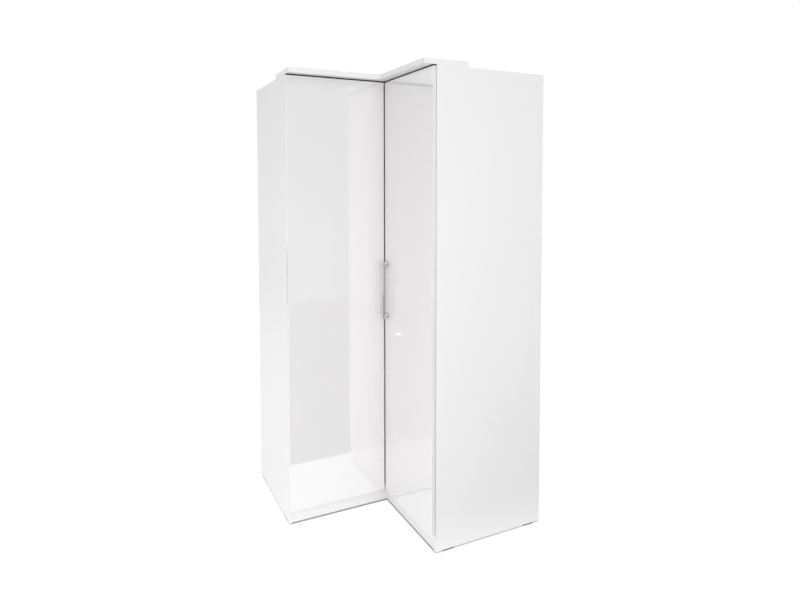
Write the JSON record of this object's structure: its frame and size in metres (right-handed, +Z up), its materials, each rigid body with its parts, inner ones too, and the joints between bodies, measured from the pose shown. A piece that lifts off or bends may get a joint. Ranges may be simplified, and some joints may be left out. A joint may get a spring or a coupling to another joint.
{
  "type": "corner wardrobe",
  "caption": "L-shaped corner wardrobe with two gloss doors meeting in the inner corner, cornice, plinth, hat shelf and clothes rails.",
  "frame": {"origin": "on the floor, under the middle of the square that the wardrobe fills", "axes": "+Z up; the two wings run towards -X and -Y from the back corner, and the doors face -Y (left door) and -X (right door)"},
  "size_m": [1.066, 1.066, 2.1232],
  "materials": {
    "white_board": "matt white laminated chipboard with lipped edges",
    "gloss_white": "white high-gloss fronts",
    "back_sheet": "white painted hardboard",
    "satin_metal": "satin, brushed along its length",
    "nickel": "nickel-plated steel",
    "rail_chrome": "chromed steel tube",
    "zinc_steel": "zinc-plated steel",
    "black_plastic": "black moulded plastic",
    "black_rubber": "black sealing strip",
    "clear_buffer": "clear soft plastic"
  },
  "bodies": {
    "carcass": {"left_side_panel": "white_board", "right_side_panel": "white_board", "left_bottom_board": "white_board", "right_bottom_board": "white_board", "left_top_board": "white_board", "right_top_board": "white_board", "left_hat_shelf": "white_board", "right_hat_shelf": "white_board", "left_plinth": "white_board", "right_plinth": "white_board", "left_top_seal": "black_rubber", "right_top_seal": "black_rubber", "left_cornice": "white_board", "right_cornice": "white_board", "left_back_sheet": "back_sheet", "right_back_sheet": "back_sheet", "left_front_glide": "black_plastic", "left_rear_glide": "black_plastic", "right_front_glide": "black_plastic", "right_rear_glide": "black_plastic", "centre_foot": "black_plastic", "rear_foot": "black_plastic", "left_clothes_rail": "rail_chrome", "right_clothes_rail": "rail_chrome", "left_rail_flange": "rail_chrome", "right_rail_flange": "rail_chrome", "corner_rail_hanger": "rail_chrome", "bottom_joint_plate": "zinc_steel", "shelf_joint_plate": "zinc_steel", "top_joint_plate": "zinc_steel", "left_wall_bracket": "zinc_steel", "right_wall_bracket": "zinc_steel", "left_bottom_buffer": "clear_buffer", "left_top_buffer": "clear_buffer", "right_bottom_buffer": "clear_buffer", "right_top_buffer": "clear_buffer", "left_hinge_arm_1": "nickel", "left_hinge_arm_2": "nickel", "left_hinge_arm_3": "nickel", "left_hinge_arm_4": "nickel", "right_hinge_arm_1": "nickel", "right_hinge_arm_2": "nickel", "right_hinge_arm_3": "nickel", "right_hinge_arm_4": "nickel"},
    "left_leaf": {"left_door": "gloss_white", "left_hinge_cup_1": "nickel", "left_hinge_cup_2": "nickel", "left_hinge_cup_3": "nickel", "left_hinge_cup_4": "nickel"},
    "right_leaf": {"right_door": "gloss_white", "right_hinge_cup_1": "nickel", "right_hinge_cup_2": "nickel", "right_hinge_cup_3": "nickel", "right_hinge_cup_4": "nickel", "handle_bar": "satin_metal", "handle_upper_foot": "satin_metal", "handle_lower_foot": "satin_metal", "handle_upper_screw": "zinc_steel", "handle_lower_screw": "zinc_steel"}
  },
  "joints": [
    {"name": "left_door_hinge", "type": "hinge", "parent": "carcass", "child": "left_leaf", "pos_m": [-0.527, -0.04, 1.081], "axis": [0, 0, -1], "range_deg": [0, 110]},
    {"name": "right_door_hinge", "type": "hinge", "parent": "carcass", "child": "right_leaf", "pos_m": [-0.04, -0.527, 1.081], "axis": [0, 0, 1], "range_deg": [0, 110]}
  ]
}
